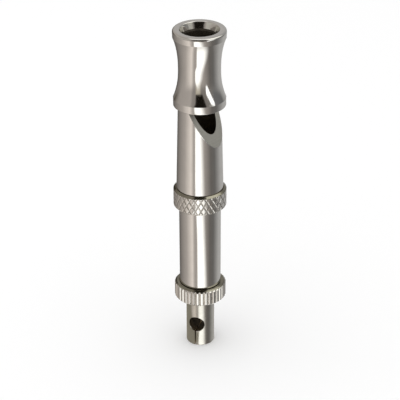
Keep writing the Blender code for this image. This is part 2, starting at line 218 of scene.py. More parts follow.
class Graph:
    """Short calls for building a node tree."""

    def __init__(self, tree):
        self.tree = tree

    def feed(self, socket, value):
        """Links a socket, or sets its plain value."""
        if isinstance(value, bpy.types.NodeSocket):
            self.tree.links.new(value, socket)
        else:
            socket.default_value = value

    def add(self, kind, feeds=None, **settings):
        """A new node with these settings, its sockets fed by name or number."""
        node = self.tree.nodes.new(kind)
        for key, value in settings.items():
            setattr(node, key, value)
        for socket, value in (feeds or {}).items():
            self.feed(node.inputs[socket], value)
        return node

    def math(self, operation, *values):
        node = self.add("ShaderNodeMath", operation=operation)
        for socket, value in zip(node.inputs, values):
            self.feed(socket, value)
        return node.outputs[0]

    def product(self, first, *others):
        """All the values multiplied."""
        for value in others:
            first = self.math("MULTIPLY", first, value)
        return first

    def span(self, value, low, high, to_low=0.0, to_high=1.0, smooth=True):
        """The value's place between low and high, kept between them."""
        node = self.add("ShaderNodeMapRange", clamp=True)
        node.interpolation_type = "SMOOTHSTEP" if smooth else "LINEAR"
        for socket, given in zip(node.inputs, (value, low, high, to_low, to_high)):
            self.feed(socket, given)
        return node.outputs[0]

    def mix(self, share, first, second):
        """Blends two colours, each a socket or three plain values."""
        node = self.add("ShaderNodeMix", data_type="RGBA")
        self.feed(node.inputs["Factor"], share)
        for label, colour in (("A", first), ("B", second)):
            socket = next(s for s in node.inputs if s.name == label and s.type == "RGBA")
            self.feed(socket, (*colour, 1) if isinstance(colour, tuple) else colour)
        return next(s for s in node.outputs if s.type == "RGBA")

    def place(self):
        """A place on the object, in the object's own axes."""
        return self.add("ShaderNodeTexCoord").outputs["Object"]

    def parts(self, place):
        """A place's X, Y and Z."""
        return self.add("ShaderNodeSeparateXYZ", {0: place}).outputs

    def length(self, way):
        return self.add("ShaderNodeVectorMath", {0: way}, operation="LENGTH").outputs["Value"]

    def from_axis(self, parts):
        """How far a place lies from the upright axis."""
        return self.length(self.add("ShaderNodeCombineXYZ", {0: parts[0], 1: parts[1]}).outputs[0])

    def noise(self, place, density, detail, rough=0.5):
        feeds = {"Vector": place, "Scale": density, "Detail": detail, "Roughness": rough}
        return self.add("ShaderNodeTexNoise", feeds).outputs[0]

    def lines(self, along, detail, rough):
        """A noise that changes in one direction alone."""
        feeds = {"W": along, "Scale": 1.0, "Detail": detail, "Roughness": rough}
        return self.add("ShaderNodeTexNoise", feeds, noise_dimensions="1D").outputs[0]


def new_group(name, kind, inputs, outputs):
    """A node group with named sockets, given as (name, socket type, default)."""
    tree = bpy.data.node_groups.new(name, kind)
    for direction, sockets in (("INPUT", inputs), ("OUTPUT", outputs)):
        for label, socket_type, *default in sockets:
            made = tree.interface.new_socket(label, in_out=direction, socket_type=socket_type)
            if default:
                made.default_value = default[0]
    graph = Graph(tree)
    return graph, graph.add("NodeGroupInput").outputs, graph.add("NodeGroupOutput").inputs


# Profiles and turned pieces


def eased(corners, closed=True):
    """Profile points from corners (radius, height, rounding)."""
    points = []
    count = len(corners)
    for i, (radius, height, rounding) in enumerate(corners):
        here = Vector((radius, height))
        if rounding == 0 or (not closed and i in (0, count - 1)):
            points.append((radius, height))
            continue
        before = Vector(corners[i - 1][:2]) - here
        after = Vector(corners[(i + 1) % count][:2]) - here
        half = before.angle(after) / 2
        reach = min(rounding / tan(half), ROUNDING_LIMIT * before.length, ROUNDING_LIMIT * after.length)
        start = here + before.normalized() * reach
        end = here + after.normalized() * reach
        for step in range(ROUND_STEPS + 1):
            share = step / ROUND_STEPS
            point = start * (1 - share) ** 2 + here * 2 * share * (1 - share) + end * share**2
            points.append((point.x, point.y))
    return points


def rows_between(start, end, count):
    """Points after the start and up to the end, evenly spaced."""
    return [
        (start[0] + (end[0] - start[0]) * row / count, start[1] + (end[1] - start[1]) * row / count)
        for row in range(1, count + 1)
    ]


def flared(start, end, power, fall):
    """Points after the start on a curve that is upright at its end (fall) or at its start."""
    points = []
    for step in range(1, FLARE_STEPS + 1):
        share = step / FLARE_STEPS
        swing = 1 - (1 - share) ** power if fall else share**power
        points.append((start[0] + (end[0] - start[0]) * swing, start[1] + (end[1] - start[1]) * share))
    return points


def chamfered_wall(crest, low, high, end_chamfer, top_chamfer, counts):
    """Points down a wall with a chamfer at both ends; counts are the rows of its three stretches."""
    crest_top = (crest, high - top_chamfer)
    crest_end = (crest, low + end_chamfer)
    rows = [(crest - top_chamfer, high)]
    rows += rows_between(rows[-1], crest_top, counts[0])
    rows += rows_between(crest_top, crest_end, counts[1])
    rows += rows_between(crest_end, (crest - end_chamfer, low), counts[2])
    return rows


def new_object(name, shape):
    """An object in the scene with this shape, which is used up."""
    mesh = bpy.data.meshes.new(name)
    shape.to_mesh(mesh)
    shape.free()
    made = bpy.data.objects.new(name, mesh)
    bpy.context.scene.collection.objects.link(made)
    return made


def turned(name, profile, finish=None, closed=True, steps=TURN_STEPS):
    """A piece turned about the axis; its profile runs down the outside, and up the bore if closed."""
    shape = bmesh.new()
    turn = [2 * pi * step / steps for step in range(steps)]
    rings = []
    for radius, height in profile:
        if radius == 0:
            rings.append([shape.verts.new((0, 0, height))] * steps)
        else:
            rings.append([shape.verts.new((radius * cos(a), radius * sin(a), height)) for a in turn])
    for upper, lower in zip(rings, rings[1:] + rings[:1] if closed else rings[1:]):
        for step in range(steps):
            after = (step + 1) % steps
            corners = [upper[step], lower[step], lower[after], upper[after]]
            shape.faces.new(list(dict.fromkeys(corners)))
    bmesh.ops.recalc_face_normals(shape, faces=shape.faces)
    piece = new_object(name, shape)
    if finish:
        piece.data.materials.append(finish)
    shade(piece)
    return piece


def shade(piece, sharp=TURNED_SHARP):
    """Smooth all over, and sharp where the surface or its finish breaks."""
    shape = bmesh.new()
    shape.from_mesh(piece.data)
    for face in shape.faces:
        face.smooth = True
    for edge in shape.edges:
        finishes = {face.material_index for face in edge.link_faces}
        inside_one = len(edge.link_faces) == 2 and len(finishes) == 1
        edge.smooth = inside_one and edge.calc_face_angle() < sharp
    shape.to_mesh(piece.data)
    shape.free()


def settle(piece):
    """Replaces the piece's modifiers with the plain mesh that they make."""
    evaluated = piece.evaluated_get(bpy.context.evaluated_depsgraph_get())
    made = bpy.data.meshes.new_from_object(evaluated)
    piece.modifiers.clear()
    piece.data = made


def cutter(name, shape, finish):
    """An object for cutting, whose finish goes onto the cut faces."""
    bmesh.ops.recalc_face_normals(shape, faces=shape.faces)
    tool = new_object(name, shape)
    tool.data.materials.append(finish)
    return tool


def cut(piece, *tools):
    """Cuts the tools out of the piece and clears them away."""
    for tool in tools:
        boolean = piece.modifiers.new(tool.name, "BOOLEAN")
        boolean.operation = "DIFFERENCE"
        boolean.solver = "EXACT"
        boolean.material_mode = "TRANSFER"
        boolean.object = tool
    settle(piece)
    for tool in tools:
        bpy.data.objects.remove(tool)


def deburr(piece, finish, wall_slide, cut_slide):
    """Breaks the edges between the outer wall and a cut with this finish, by sliding each side back."""
    merge_before = 0.004 * MM
    merge_after = 0.002 * MM
    least_slide = 0.001 * MM
    piece.data.materials.append(FILED)
    filed_index = len(piece.data.materials) - 1
    cut_index = piece.data.materials.find(finish.name)
    shape = bmesh.new()
    shape.from_mesh(piece.data)
    bmesh.ops.remove_doubles(shape, verts=shape.verts, dist=merge_before)
    outside = max(vert.co.xy.length for vert in shape.verts) / 2
    rims = []
    for edge in shape.edges:
        walls = [face for face in edge.link_faces if face.material_index == 0]
        cuts = [face for face in edge.link_faces if face.material_index == cut_index]
        slides = any(wall_slide(vert.co).length > least_slide for vert in edge.verts)
        outer = min(vert.co.xy.length for vert in edge.verts) > outside
        if len(walls) == 1 and len(cuts) == 1 and slides and outer:
            rims.append((edge, walls[0]))
    counts = Counter(vert for edge, wall in rims for vert in edge.verts)
    shared = [vert for vert, count in counts.items() if count == 2]
    twins = {vert: shape.verts.new(vert.co + wall_slide(vert.co)) for vert in shared}
    strips = []
    for edge, wall in rims:
        first, second = edge.verts
        loop = next(loop for loop in wall.loops if loop.edge == edge)
        if loop.vert != first:
            first, second = second, first
        strips.append([first, second, twins.get(second, second), twins.get(first, first)])
    walls = dict.fromkeys(face for vert in twins for face in vert.link_faces if face.material_index == 0)
    for face in walls:
        shape.faces.new([twins.get(vert, vert) for vert in face.verts])
    bmesh.ops.delete(shape, geom=list(walls), context="FACES_KEEP_BOUNDARY")
    for strip in strips:
        corners = list(dict.fromkeys(strip))
        if len(corners) > 2:
            shape.faces.new(corners).material_index = filed_index
    for vert in twins:
        vert.co += cut_slide(vert.co)
    bmesh.ops.remove_doubles(shape, verts=shape.verts, dist=merge_after)
    shape.to_mesh(piece.data)
    shape.free()


def prism(outline, depth):
    """A straight-sided shape across X on an outline of (y, z) points."""
    shape = bmesh.new()
    corners = [shape.verts.new((-depth / 2, y, z)) for y, z in outline]
    grown = bmesh.ops.extrude_face_region(shape, geom=[shape.faces.new(corners)])
    moved = [item for item in grown["geom"] if isinstance(item, bmesh.types.BMVert)]
    bmesh.ops.translate(shape, verts=moved, vec=(depth, 0, 0))
    return shape


def cross_rod(radius, length, height, turn):
    """A rod through the axis, along Y before it is turned."""
    shape = bmesh.new()
    lying = Matrix.Rotation(turn, 4, "Z") @ Matrix.Rotation(pi / 2, 4, "X")
    place = Matrix.Translation((0, 0, height)) @ lying
    sizes = {"segments": HOLE_STEPS, "radius1": radius, "radius2": radius, "depth": length}
    bmesh.ops.create_cone(shape, cap_ends=True, matrix=place, **sizes)
    return shape


def paint(piece, finish, where):
    """Gives a finish to the faces whose middle passes the test."""
    if finish.name not in piece.data.materials:
        piece.data.materials.append(finish)
    index = piece.data.materials.find(finish.name)
    for face in piece.data.polygons:
        if where(face.center):
            face.material_index = index


def off_axis(point):
    return point.xy.length


# Grooves rolled into a turned blank: the knurls and the thread


def rolled_grooves():
    """Sinks crossed, straight or winding grooves into the outside of a turned blank."""
    geometry = ("Geometry", "NodeSocketGeometry")
    sizes = ["Crest Radius", "Starts", "Grooves per Metre", "Crossed", "Depth"]
    sizes += ["Crest Share", "Root Share", "Low", "High"]
    inputs = [geometry, *((label, "NodeSocketFloat") for label in sizes)]
    inputs += [("Run Out", "NodeSocketFloat", 0.1 * MM), ("Finish", "NodeSocketMaterial")]
    graph, given, result = new_group("rolled_grooves", "GeometryNodeTree", inputs, [geometry])
    math = graph.math
    product = graph.product
    low = given["Low"]
    high = given["High"]
    place = graph.parts(graph.add("GeometryNodeInputPosition").outputs[0])
    turn = math("DIVIDE", math("ARCTAN2", place[1], place[0]), 2 * pi)
    around = product(turn, given["Starts"])
    middle = product(math("ADD", low, high), 0.5)
    climb = product(math("SUBTRACT", place[2], middle), given["Grooves per Metre"])
    root = math("SUBTRACT", 1.0, given["Root Share"])
    hands = []
    for operation in ("ADD", "SUBTRACT"):
        wave = product(math("PINGPONG", math(operation, around, climb), 0.5), 2.0)
        hands.append(graph.span(wave, given["Crest Share"], root))
    groove = math("MAXIMUM", hands[0], product(hands[1], given["Crossed"]))
    rise = graph.span(place[2], low, math("ADD", low, given["Run Out"]))
    fade = graph.span(place[2], math("SUBTRACT", high, given["Run Out"]), high, 1.0, 0.0)
    sunk = product(product(groove, given["Depth"]), product(rise, fade))
    # below Low and above High the limit lies far outside, so the blank keeps its shape there
    free = math("ADD", math("LESS_THAN", place[2], low), math("GREATER_THAN", place[2], high))
    limit = math("ADD", math("SUBTRACT", given["Crest Radius"], sunk), free)
    radius = graph.from_axis(place)
    share = math("DIVIDE", math("MINIMUM", radius, limit), math("MAXIMUM", radius, 1e-9))
    lost = math("MAXIMUM", math("DIVIDE", math("SUBTRACT", radius, limit), given["Depth"]), 0.0)
    sides = {0: product(place[0], share), 1: product(place[1], share), 2: place[2]}
    moved = graph.add("ShaderNodeCombineXYZ", sides).outputs[0]
    marks = {"Geometry": given["Geometry"], "Name": "groove", "Value": lost}
    marked = graph.add("GeometryNodeStoreNamedAttribute", marks, domain="POINT").outputs[0]
    rolled = graph.add("GeometryNodeSetPosition", {"Geometry": marked, "Position": moved}).outputs[0]
    whole = graph.add("GeometryNodeRealizeInstances", {0: rolled}).outputs[0]
    coated = graph.add("GeometryNodeSetMaterial", {"Geometry": whole, "Material": given["Finish"]})
    graph.feed(result["Geometry"], coated.outputs[0])
    return graph.tree


def roll(piece, sizes):
    """Rolls grooves of these sizes into the piece, and keeps the plain mesh."""
    rolling = piece.modifiers.new(ROLLED_GROOVES.name, "NODES")
    rolling.node_group = ROLLED_GROOVES
    sockets = ROLLED_GROOVES.interface.items_tree
    names = {item.name: item.identifier for item in sockets if item.in_out == "INPUT"}
    for label, value in sizes.items():
        rolling[names[label]] = value
    settle(piece)
    shade(piece, ROLLED_SHARP)


# Finishes


def lathe_lines_group():
    """Fine rings left by turning and polishing, and the faint clouds and scratches of handling."""
    graph, given, result = new_group(
        "lathe_lines",
        "ShaderNodeTree",
        [("Ring Density", "NodeSocketFloat", 9000.0), ("Cloud Density", "NodeSocketFloat", 350.0)],
        [("Rings", "NodeSocketFloat"), ("Clouds", "NodeSocketFloat"), ("Scratches", "NodeSocketFloat")],
    )
    scratch_lean = 0.6
    scratch_density = (4200.0, 4200.0, 160.0)
    scratch_width = 0.03
    place = graph.place()
    parts = graph.parts(place)
    along = graph.math("ADD", parts[2], graph.from_axis(parts))
    rings = graph.lines(graph.product(along, given["Ring Density"]), 3.0, 0.6)
    clouds = graph.noise(place, given["Cloud Density"], 4.0, 0.55)
    lean = {"Vector": place, "Angle": scratch_lean}
    leant = graph.add("ShaderNodeVectorRotate", lean, rotation_type="X_AXIS").outputs[0]
    stretched = graph.add("ShaderNodeMapping", {"Vector": leant, "Scale": scratch_density})
    cells = {"Vector": stretched.outputs[0], "Scale": 1.0}
    scratches = graph.add("ShaderNodeTexVoronoi", cells, feature="DISTANCE_TO_EDGE").outputs["Distance"]
    graph.feed(result["Rings"], rings)
    graph.feed(result["Clouds"], clouds)
    graph.feed(result["Scratches"], graph.span(scratches, 0.0, scratch_width, 1.0, 0.0))
    return graph.tree


def groove_darkening_group():
    """Where a knurl is grooved and coloured darker; the piece's mesh says how deep each place lies."""
    graph, given, result = new_group(
        "groove_darkening",
        "ShaderNodeTree",
        [("Mottle Density", "NodeSocketFloat", 1400.0), ("Patchiness", "NodeSocketFloat", 0.5)],
        [("Grime", "NodeSocketFloat"), ("Worn Crest", "NodeSocketFloat")],
    )
    sunk = graph.add("ShaderNodeAttribute", attribute_name="groove").outputs["Fac"]
    mottle = graph.noise(graph.place(), given["Mottle Density"], 3.0)
    uneven = graph.product(graph.math("SUBTRACT", mottle, 0.5), given["Patchiness"])
    patchy = graph.math("ADD", sunk, graph.product(uneven, sunk))
    graph.feed(result["Grime"], graph.span(patchy, 0.5, 1.1))
    graph.feed(result["Worn Crest"], graph.span(patchy, 0.25, 0.0))
    return graph.tree


def new_finish(name):
    """A new material, its graph and its surface."""
    finish = bpy.data.materials.new(name)
    finish.use_nodes = True
    return finish, Graph(finish.node_tree), finish.node_tree.nodes["Principled BSDF"]


def coat(graph, surface, colour, rough, metal, relief):
    """Feeds a surface; its relief is (pattern, strength, depth)."""
    pattern, strength, depth = relief
    bump = graph.add("ShaderNodeBump", {"Strength": strength, "Distance": depth, "Height": pattern})
    feeds = {"Base Color": colour, "Roughness": rough, "Metallic": metal, "Normal": bump.outputs[0]}
    for label, value in feeds.items():
        graph.feed(surface.inputs[label], value)


def polished_metal(name, light, dark, smooth, rough, rings):
    """Polished or plain turned metal with fine rings, faint clouds and hair scratches."""
    finish, graph, surface = new_finish(name)
    marks = graph.add("ShaderNodeGroup", node_tree=LATHE_LINES).outputs
    colour = graph.mix(graph.span(marks["Clouds"], 0.35, 0.75), light, dark)
    cloudy = graph.span(marks["Clouds"], 0.3, 0.7, smooth, rough)
    scuffed = graph.math("ADD", cloudy, graph.product(marks["Scratches"], 0.05))
    coat(graph, surface, colour, scuffed, 1.0, (marks["Rings"], rings, FINE_RELIEF))
    return finish


def knurled_nickel(name, groove_colour):
    """Nickel that is darker deep in its grooves and whose crests are rubbed bright."""
    finish, graph, surface = new_finish(name)
    marks = graph.add("ShaderNodeGroup", node_tree=LATHE_LINES).outputs
    grooves = graph.add("ShaderNodeGroup", node_tree=GROOVE_DARKENING).outputs
    crest_colour = graph.mix(grooves["Worn Crest"], (0.70, 0.68, 0.64), (0.77, 0.755, 0.72))
    # darker the deeper a place lies in a groove
    colour = graph.mix(grooves["Grime"], crest_colour, groove_colour)
    dulled = graph.span(grooves["Grime"], 0.0, 1.0, 0.09, 0.3)
    cloudy = graph.math("ADD", dulled, graph.product(marks["Clouds"], 0.06))
    coat(graph, surface, colour, cloudy, 1.0, (marks["Rings"], 0.06, FINE_RELIEF))
    return finish


def milled_metal(name, light, dark, smooth, rough):
    """A milled face with the cutter's fine lines across it."""
    finish, graph, surface = new_finish(name)
    line_density = 5200.0
    place = graph.place()
    wander = graph.product(graph.noise(place, 300.0, 2.0), 0.8)
    along = graph.math("ADD", graph.product(graph.parts(place)[2], line_density), wander)
    lines = graph.lines(along, 4.0, 0.7)
    share = graph.span(lines, 0.3, 0.7)
    ridged = graph.span(share, 0.0, 1.0, smooth, rough)
    coat(graph, surface, graph.mix(share, light, dark), ridged, 1.0, (lines, 0.12, FINE_RELIEF))
    return finish


def dull_finish(name, light, dark, rough, metal, grain, sheen=0.5):
    """A dull surface with a grain: the painted shade of a bore or hole, a sawn slit, fibre or rubber."""
    finish, graph, surface = new_finish(name)
    speckle = graph.noise(graph.place(), grain, 5.0, 0.6)
    share = graph.span(speckle, 0.3, 0.7)
    grainy = graph.span(share, 0.0, 1.0, rough - 0.06, rough + 0.06)
    coat(graph, surface, graph.mix(share, light, dark), grainy, metal, (speckle, 0.15, COARSE_RELIEF))
    surface.inputs["Specular IOR Level"].default_value = sheen
    return finish


ROLLED_GROOVES = rolled_grooves()
LATHE_LINES = lathe_lines_group()
GROOVE_DARKENING = groove_darkening_group()

# Tones of a finish, light and dark
NICKEL_TONES = ((0.76, 0.745, 0.715), (0.725, 0.71, 0.68))
STEM_TONES = ((0.67, 0.655, 0.60), (0.60, 0.585, 0.53))
MILLED_TONES = ((0.74, 0.73, 0.68), (0.66, 0.65, 0.60))
DARK_REFLECTION_TONES = ((0.33, 0.315, 0.255), (0.25, 0.235, 0.185))
CORNER_SHADE_TONES = ((0.19, 0.165, 0.125), (0.13, 0.11, 0.08))
BRASS_TONES = ((0.70, 0.54, 0.27), (0.60, 0.45, 0.22))
BORE_SHADE_TONES = ((0.050, 0.039, 0.025), (0.026, 0.020, 0.012))
HOLE_SHADE_TONES = ((0.070, 0.050, 0.026), (0.038, 0.027, 0.013))
SLIT_TONES = ((0.55, 0.45, 0.30), (0.45, 0.36, 0.24))
FIBRE_TONES = ((0.17, 0.095, 0.05), (0.11, 0.06, 0.035))
RUBBER_TONES = ((0.02, 0.02, 0.02), (0.03, 0.03, 0.028))

NICKEL = polished_metal("polished_nickel", *NICKEL_TONES, smooth=0.07, rough=0.12, rings=0.06)
STEM_NICKEL = polished_metal("stem_nickel", *STEM_TONES, smooth=0.15, rough=0.22, rings=0.08)
FILED = polished_metal("filed_edge_nickel", *NICKEL_TONES, smooth=0.14, rough=0.2, rings=0.1)
# painted shade and dark reflection on the top edges of the collar and the nut
PAINTED_DARK_REFLECTION = polished_metal("nickel_painted_dark_reflection", *DARK_REFLECTION_TONES, smooth=0.1, rough=0.18, rings=0.06)
# painted shade for the corners where a barrel meets the collar or the nut
CORNER_PAINTED_SHADE = polished_metal("corner_painted_shade", *CORNER_SHADE_TONES, smooth=0.26, rough=0.38, rings=0.06)
BRASS = polished_metal("plain_brass", *BRASS_TONES, smooth=0.24, rough=0.36, rings=0.2)
THREAD_BRASS = polished_metal("thread_brass", *BRASS_TONES, smooth=0.2, rough=0.3, rings=0.1)
COLLAR_NICKEL = knurled_nickel("diamond_knurl_nickel", groove_colour=(0.50, 0.48, 0.44))
NUT_NICKEL = knurled_nickel("ribbed_knurl_nickel", groove_colour=(0.40, 0.37, 0.33))
MILLED = milled_metal("milled_nickel", *MILLED_TONES, smooth=0.3, rough=0.42)
# painted shade inside the bores
BORE_PAINTED_SHADE = dull_finish("bore_painted_shade", *BORE_SHADE_TONES, rough=0.55, metal=0.3, grain=900.0)
# painted shade inside the lanyard hole, dark brown
HOLE_PAINTED_SHADE = dull_finish("hole_painted_shade", *HOLE_SHADE_TONES, rough=0.55, metal=0.3, grain=900.0, sheen=0.1)
SAWN_SLIT = dull_finish("sawn_slit", *SLIT_TONES, rough=0.5, metal=0.9, grain=900.0)
FIBRE = dull_finish("brown_fibre", *FIBRE_TONES, rough=0.75, metal=0.0, grain=3000.0)
RUBBER = dull_finish("seal_rubber", *RUBBER_TONES, rough=0.6, metal=0.0, grain=2000.0)


# The pieces


def place_piece(piece, body, node):
    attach(piece, body)
    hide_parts(node)


def make_mouthpiece():
    """A flat rim with a coned mouth, a waist, and a foot with the socket for the barrel."""
    waist = (WAIST, MOUTH_LOW + WAIST_RISE)
    band = (RIM - BAND_DRAW_IN, MOUTH_HIGH - BAND_DEPTH)
    foot = (FOOT, MOUTH_LOW + FOOT_RISE)
    socket_top = MOUTH_LOW + SPIGOT_LENGTH
    bore_top = MOUTH_HIGH - MOUTH_DEPTH
    cone_middle = ((MOUTH + MOUTH_END) / 2, (MOUTH_HIGH + bore_top) / 2, 0)
    top = [cone_middle, (MOUTH, MOUTH_HIGH, MOUTH_LIP), (RIM, MOUTH_HIGH, RIM_EDGE), (*band, 0)]
    outside = eased(top, closed=False)
    outside += flared(band, waist, RIM_FLARE, fall=True)
    outside += flared(waist, foot, FOOT_FLARE, fall=False)
    end = [(*foot, 0), (FOOT, MOUTH_LOW, FOOT_EDGE), (SOCKET, MOUTH_LOW, 0)]
    outside += eased(end, closed=False)[1:]
    bore = [
        (SOCKET, MOUTH_LOW, 0),
        (SOCKET, socket_top, 0),
        (BORE, socket_top, 0),
        (BORE, bore_top - BORE_LEAD, 0),
        (MOUTH_END, bore_top, BROKEN_EDGE),
        cone_middle,
    ]
    inside = eased(bore, closed=False)
    piece = turned("waisted_mouthpiece", outside + inside[1:-1], NICKEL)
    # painted shade down the mouthpiece's bore and socket
    paint(piece, BORE_PAINTED_SHADE, lambda middle: off_axis(middle) < SOCKET + HAIR and middle.z < bore_top)
    place_piece(piece, "whistle", "mouthpiece")


def make_upper_barrel():
    """A tapered tube with a spigot on top and the slanted sound window under it."""
    spigot_top = SHOULDER + SPIGOT_LENGTH
    thread_top = UPPER_LOW + SCREW_ON_LENGTH
    thread = SCREW_ON + SEAT_PLAY
    wall = [(UPPER_TOP_RADIUS, SHOULDER)]
    wall += rows_between(wall[0], (UPPER_END_RADIUS, UPPER_LOW), UPPER_ROWS)
    profile = [(SPIGOT, spigot_top), (SPIGOT, SHOULDER), *wall]
    profile += [(thread, UPPER_LOW), (thread, thread_top), (BORE, thread_top), (BORE, spigot_top)]
    piece = turned("window_barrel", profile, NICKEL)
    # painted shade inside the barrel's bore
    paint(piece, BORE_PAINTED_SHADE, lambda middle: off_axis(middle) < BORE + HAIR)
    reach = 2 * UPPER_END_RADIUS
    window_foot = SHOULDER - (reach - WINDOW_FROM_AXIS) / tan(WINDOW_SLOPE)
    outline = [(-WINDOW_FROM_AXIS, SHOULDER), (-reach, SHOULDER), (-reach, window_foot)]
    cut(piece, cutter("window_cut", prism(outline, 2 * reach), MILLED))
    up_the_cut = Vector((0, sin(WINDOW_SLOPE), cos(WINDOW_SLOPE))) * WINDOW_EDGE / 2

    def down_the_wall(place):
        return Vector((0, 0, -WINDOW_EDGE if place.z < SHOULDER - 2 * WINDOW_EDGE else 0))

    def into_the_cut(place):
        return Vector((-place.x, 0, 0)).normalized() * min(WINDOW_EDGE / 2, abs(place.x)) + up_the_cut

    deburr(piece, MILLED, down_the_wall, into_the_cut)
    shade(piece)
    place_piece(piece, "whistle", "upper_barrel")


def make_grip_collar():
    """A ring with a crossed knurl, with painted shade and dark reflection on its top edge."""
    chamfers = (COLLAR_END_CHAMFER, COLLAR_TOP_CHAMFER)
    rows = chamfered_wall(COLLAR_CREST, COLLAR_LOW, COLLAR_HIGH, *chamfers, COLLAR_ROWS)
    profile = [(COLLAR_BORE, COLLAR_HIGH), *rows, (COLLAR_BORE, COLLAR_LOW)]
    piece = turned("diamond_collar", profile, steps=DIAMONDS * DIAMOND_STEPS)
    sizes = {
        "Crest Radius": COLLAR_CREST,
        "Starts": float(DIAMONDS),
        "Grooves per Metre": 1 / DIAMOND_HEIGHT,
        "Crossed": 1.0,
        "Depth": DIAMOND_DEPTH,
        "Crest Share": 0.64,
        "Root Share": 0.04,
        "Low": COLLAR_LOW - MM,
        "High": COLLAR_HIGH + MM,
        "Finish": COLLAR_NICKEL,
    }
    roll(piece, sizes)
    # painted shade and dark reflection over the collar's top chamfer and face
    paint(piece, PAINTED_DARK_REFLECTION, lambda middle: middle.z > COLLAR_HIGH - COLLAR_TOP_CHAMFER)
    # painted shade on the collar's top face, where the barrel stands on it
    paint(piece, CORNER_PAINTED_SHADE, lambda middle: middle.z > COLLAR_HIGH - HAIR)
    place_piece(piece, "whistle", "grip_collar")


def make_lower_barrel():
    """A straight tube whose thinner top screws into the upper barrel."""
    screw_on_top = COLLAR_HIGH + SCREW_ON_LENGTH
    corners = [
        (SCREW_ON, screw_on_top, SCREW_ON_EDGE),
        (SCREW_ON, COLLAR_HIGH, 0),
        (LOWER_RADIUS, COLLAR_HIGH, FINE_EDGE),
        (LOWER_RADIUS, LOWER_LOW, BROKEN_EDGE),
        (BORE, LOWER_LOW, FINE_EDGE),
        (BORE, screw_on_top, FINE_EDGE),
    ]
    piece = turned("plain_barrel", eased(corners), NICKEL)
    # painted shade inside the bore, from a hair past its rounded edges
    paint(piece, BORE_PAINTED_SHADE, lambda middle: off_axis(middle) < BORE + DARK_EDGE)
    place_piece(piece, "whistle", "lower_barrel")


def make_lock_nut():
    """A ribbed nut with a recess for the washer above and one for the stem below."""
    corner_shade_end = LOWER_RADIUS + CORNER_SHADE_WIDTH
    recess_floor = WASHER_LOW - SEAT_PLAY
    stem_recess = STEM + RUNNING_PLAY
    stem_recess_top = STEM_HIGH + NUT_STEM_RECESS
    thread_bore = THREAD_CREST + RUNNING_PLAY
    chamfers = (NUT_END_CHAMFER, NUT_TOP_CHAMFER)
    rows = chamfered_wall(NUT_CREST, NUT_LOW, NUT_HIGH, *chamfers, NUT_ROWS)
    inside = [
        (stem_recess, NUT_LOW),
        (stem_recess, stem_recess_top),
        (thread_bore, stem_recess_top),
        (thread_bore, recess_floor),
        (NUT_RECESS, recess_floor),
        (NUT_RECESS, NUT_HIGH),
        (corner_shade_end, NUT_HIGH),
    ]
    piece = turned("ribbed_nut", rows + inside, steps=RIBS * RIB_STEPS)
    sizes = {
        "Crest Radius": NUT_CREST,
        "Starts": float(RIBS),
        "Depth": RIB_DEPTH,
        "Crest Share": 0.34,
        "Root Share": 0.06,
        "Low": NUT_LOW - MM,
        "High": NUT_HIGH + MM,
        "Finish": NUT_NICKEL,
    }
    roll(piece, sizes)
    unshaded_side = Vector((cos(UNSHADED_SIDE), sin(UNSHADED_SIDE)))

    def in_corner_shade(middle):
        in_the_corner = middle.z > recess_floor and off_axis(middle) < corner_shade_end
        return in_the_corner and middle.xy.angle(unshaded_side) > UNSHADED_REACH

    # painted shade and dark reflection over the nut's top chamfer and face
    paint(piece, PAINTED_DARK_REFLECTION, lambda middle: middle.z > NUT_HIGH - DARK_REFLECTION_DEPTH)
    # painted shade in the nut's corner at the barrel, left off on the side where bright reflections fall
    paint(piece, CORNER_PAINTED_SHADE, in_corner_shade)
    place_piece(piece, "lock_nut", "lock_nut")


def make_stem():
    """The screw's plain end, with a lanyard hole through it and a fine slit below the hole."""
    socket = TENON + SEAT_PLAY
    socket_floor = STEM_HIGH - STEM_SOCKET_DEPTH
    corners = [
        (0, socket_floor, 0),
        (socket, socket_floor, 0),
        (socket, STEM_HIGH, FINE_EDGE),
        (STEM, STEM_HIGH, BROKEN_EDGE),
        (STEM, STEM_LOW, STEM_END_EDGE),
        (0, STEM_LOW, 0),
    ]
    piece = turned("lanyard_stem", eased(corners, closed=False), STEM_NICKEL, closed=False)
    reach = 2 * STEM
    outline = [(-reach, -STEM), (reach, -STEM), (reach, HOLE_HEIGHT), (-reach, HOLE_HEIGHT)]
    slit = prism(outline, SLIT_WIDTH)
    bmesh.ops.translate(slit, verts=slit.verts, vec=(-SLIT_OFFSET, 0, 0))
    bmesh.ops.rotate(slit, verts=slit.verts, matrix=Matrix.Rotation(HOLE_TURN, 3, "Z"))
    hole = cross_rod(HOLE_RADIUS, 2 * reach, HOLE_HEIGHT, HOLE_TURN)
    # the hole's walls take the painted shade from the cutter
    cut(piece, cutter("lanyard_hole_cut", hole, HOLE_PAINTED_SHADE), cutter("slit_cut", slit, SAWN_SLIT))
    inward = Vector((sin(HOLE_TURN), -cos(HOLE_TURN), 0))

    def from_the_hole(place):
        rise = (place.z - HOLE_HEIGHT) / HOLE_RADIUS
        return Vector((0, 0, HOLE_EDGE * rise)) if abs(rise) < HOLE_RIM else Vector()

    def into_the_hole(place):
        slide = HOLE_EDGE * abs(place.z - HOLE_HEIGHT) / HOLE_RADIUS
        return inward * (-slide if place.dot(inward) > 0 else slide)

    deburr(piece, HOLE_PAINTED_SHADE, from_the_hole, into_the_hole)
    shade(piece)
    place_piece(piece, "tuning_screw", "stem")


